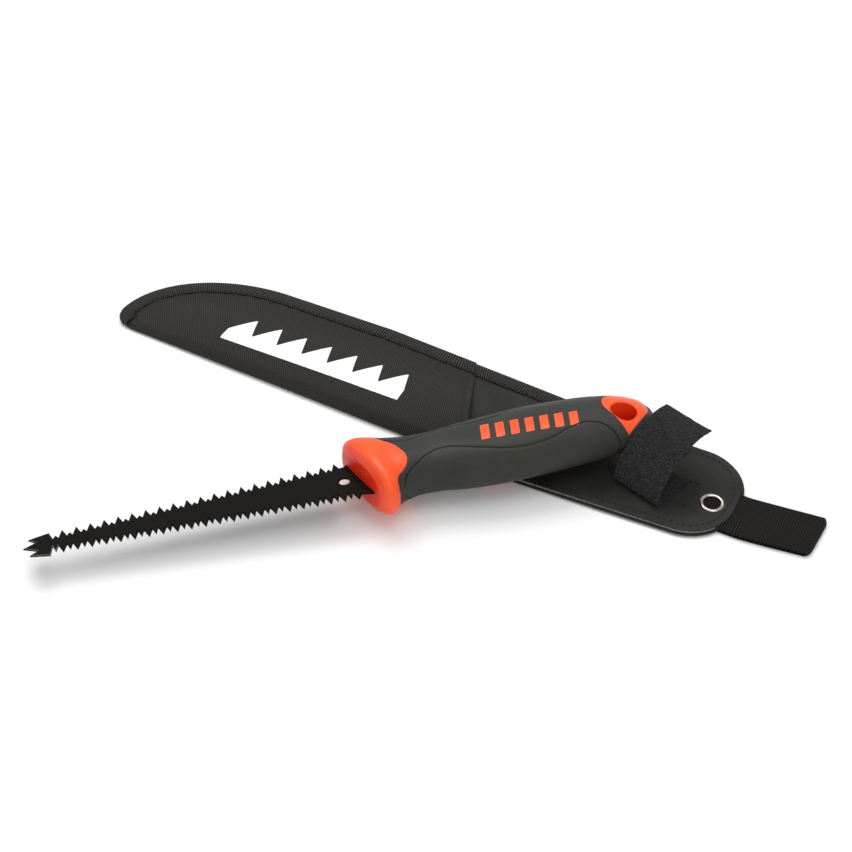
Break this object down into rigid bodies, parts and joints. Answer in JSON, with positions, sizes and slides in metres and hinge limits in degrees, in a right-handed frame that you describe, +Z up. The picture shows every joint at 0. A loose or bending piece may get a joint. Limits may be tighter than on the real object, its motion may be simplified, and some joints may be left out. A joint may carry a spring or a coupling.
{
  "type": "jab saw with sheath",
  "caption": "Fixed double-edged jab saw with a three-point tip and a soft grip, lying across its fabric belt sheath, which has a strap, an eyelet and a belt loop.",
  "frame": {"origin": "centre of the whole object's plan, on the surface that it lies on", "axes": "+X along the sheath from its pocket tip to its belt loop, +Y towards the sheath's bound edge, +Z up"},
  "size_m": [0.3746, 0.2144, 0.0309],
  "materials": {
    "blade_coating": "black low-glare coating over spring steel",
    "orange_plastic": "smooth moulded orange plastic",
    "black_grip": "soft satin black overmould",
    "woven_nylon": "coated woven nylon, fine ribbed weave",
    "pale_board": "pale stiffening sheet, seen only at its cut edge",
    "vinyl": "grained black vinyl",
    "edge_tape": "woven edge tape",
    "webbing": "ribbed black webbing",
    "nickel": "nickel plated brass",
    "loop_tape": "fuzzy loop face of a hook and loop tape",
    "hook_tape": "hook face of a hook and loop tape",
    "thread": "black sewing thread"
  },
  "bodies": {
    "root": {"back_cover": "woven_nylon", "panel_stiffener": "pale_board", "panel_lining": "vinyl", "pocket_front": "woven_nylon", "mouth_hem": "woven_nylon", "pocket_binding": "edge_tape", "rear_binding": "edge_tape", "belt_loop_lower_end": "webbing", "belt_loop_upper_end": "webbing", "eyelet_barrel": "nickel", "eyelet_washer": "nickel", "strap_tab": "loop_tape", "hook_tape": "hook_tape", "belt_loop_stitching": "thread"},
    "saw": {"blade": "blade_coating", "handle_core": "orange_plastic", "grip_overmould": "black_grip"},
    "strap": {"strap_flap": "loop_tape"},
    "belt_loop_free": {"belt_loop": "webbing"}
  },
  "joints": [
    {"name": "saw_slide", "type": "slide", "parent": "root", "child": "saw", "axis": [-0.7373, -0.6756, 0], "range_m": [0, 0.09]},
    {"name": "strap_hinge", "type": "hinge", "parent": "root", "child": "strap", "pos_m": [0.09951, 0.05938, 0.0056], "axis": [0.9588, -0.284, 0], "range_deg": [0, 100]},
    {"name": "belt_loop_hinge", "type": "hinge", "parent": "root", "child": "belt_loop_free", "pos_m": [0.14861, 0.07018, 0.002], "axis": [0.1132, -0.9936, 0], "range_deg": [0, 80]}
  ]
}
